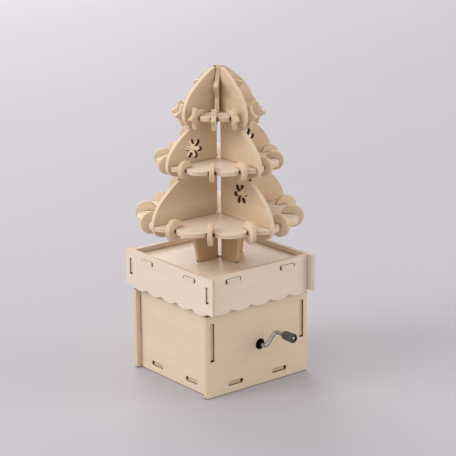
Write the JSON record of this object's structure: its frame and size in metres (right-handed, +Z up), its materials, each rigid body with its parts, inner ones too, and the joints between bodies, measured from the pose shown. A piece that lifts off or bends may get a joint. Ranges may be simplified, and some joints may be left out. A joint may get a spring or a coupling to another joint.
{
  "type": "wooden 3d jigsaw model",
  "caption": "Slotted plywood music box with a side crank and a scalloped lift-off lid that carries a tiered tree hung with discs and stars.",
  "frame": {"origin": "middle of the whole part's footprint, knob included, on the surface it stands on; the tree's axis stands 4.8 mm behind it", "axes": "+Z up, parallel to the tree's axis, +Y to the back away from the crank face, +X to the right along the crank face"},
  "size_m": [0.118, 0.1276, 0.2248],
  "materials": {
    "basswood_ply": "bare sanded basswood plywood, laser cut",
    "zinc_plate": "as-cast zinc alloy",
    "bright_steel": "bright steel",
    "spring_steel": "ground spring steel",
    "brass": "turned brass",
    "black_plastic": "dark grey moulded plastic"
  },
  "bodies": {
    "box": {"bottom_panel": "basswood_ply", "front_panel": "basswood_ply", "back_panel": "basswood_ply", "left_panel": "basswood_ply", "right_panel": "basswood_ply", "movement_shelf": "basswood_ply", "left_shelf_leg": "basswood_ply", "right_shelf_leg": "basswood_ply", "bedplate": "zinc_plate", "bedplate_screws": "bright_steel", "front_crank_bearing": "zinc_plate", "rear_crank_bearing": "zinc_plate", "left_drum_bearing": "zinc_plate", "right_drum_bearing": "zinc_plate", "comb_rest": "zinc_plate", "comb": "spring_steel", "comb_screws": "bright_steel"},
    "crank": {"crank_rod": "bright_steel", "crank_worm": "bright_steel", "knob_retainer": "bright_steel"},
    "drum": {"drum_arbor": "bright_steel", "tune_drum": "brass", "drum_wheel": "brass"},
    "knob": {"crank_knob": "black_plastic"},
    "lid": {"lid_plate": "basswood_ply", "front_flange": "basswood_ply", "back_flange": "basswood_ply", "left_flange": "basswood_ply", "right_flange": "basswood_ply", "left_wing": "basswood_ply", "front_wing": "basswood_ply", "right_wing": "basswood_ply", "back_wing": "basswood_ply", "bottom_tier": "basswood_ply", "middle_tier": "basswood_ply", "top_tier": "basswood_ply", "topper_star_across": "basswood_ply", "topper_star_along": "basswood_ply", "bottom_discs_front_left": "basswood_ply", "bottom_discs_front_right": "basswood_ply", "bottom_discs_back_right": "basswood_ply", "bottom_discs_back_left": "basswood_ply", "middle_discs_front_left": "basswood_ply", "middle_discs_front_right": "basswood_ply", "middle_discs_back_right": "basswood_ply", "middle_discs_back_left": "basswood_ply", "top_stars_front_left": "basswood_ply", "top_stars_front_right": "basswood_ply", "top_stars_back_right": "basswood_ply", "top_stars_back_left": "basswood_ply"}
  },
  "joints": [
    {"name": "crank_turn", "type": "hinge", "parent": "box", "child": "crank", "pos_m": [0.0022, -0.0402, 0.0303], "axis": [0, 1, 0], "continuous": true},
    {"name": "drum_turn", "type": "hinge", "parent": "box", "child": "drum", "pos_m": [0.0022, -0.0172, 0.04126], "axis": [1, 0, 0], "continuous": true},
    {"name": "knob_spin", "type": "hinge", "parent": "crank", "child": "knob", "pos_m": [0.01102, -0.0582, 0.03944], "axis": [0, 1, 0], "continuous": true},
    {"name": "lid_lift", "type": "slide", "parent": "box", "child": "lid", "axis": [0, 0, 1], "range_m": [0, 0.06]}
  ],
  "couplings": [
    {"joint": "drum_turn", "follows": "crank_turn", "ratio": 0.05}
  ]
}
